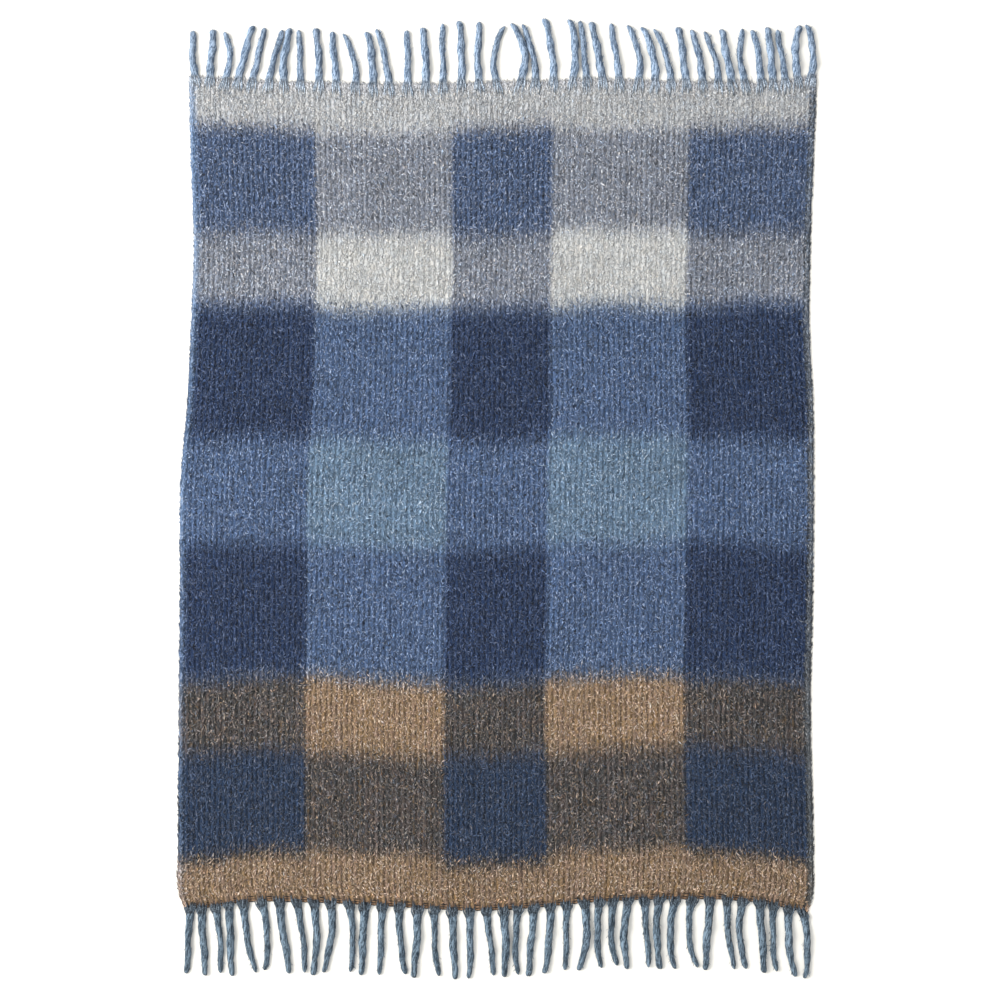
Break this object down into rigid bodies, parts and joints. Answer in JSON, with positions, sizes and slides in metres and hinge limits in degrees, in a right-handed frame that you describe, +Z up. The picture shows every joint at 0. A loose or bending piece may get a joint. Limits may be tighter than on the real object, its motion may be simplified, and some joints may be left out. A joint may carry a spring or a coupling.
{
  "type": "throw blanket",
  "caption": "Brushed wool throw blanket with raised warp ribs and a twisted fringe along both ends, lying flat and face up.",
  "frame": {"origin": "on the floor under the middle of the blanket's box, fringes included", "axes": "+Y along the length towards the pale end, +X across the width to the right, +Z up out of the face"},
  "size_m": [1.32, 1.9862, 0.0151],
  "materials": {
    "brushed_wool": "matt, brushed nap over raised warp ribs, in pale, blue and ochre blocks",
    "fringe_wool": "matt, two-ply twisted pale blue yarn with loose hairs"
  },
  "bodies": {
    "root": {"cloth": "brushed_wool", "head_fringe": "fringe_wool", "foot_fringe": "fringe_wool"}
  },
  "joints": []
}
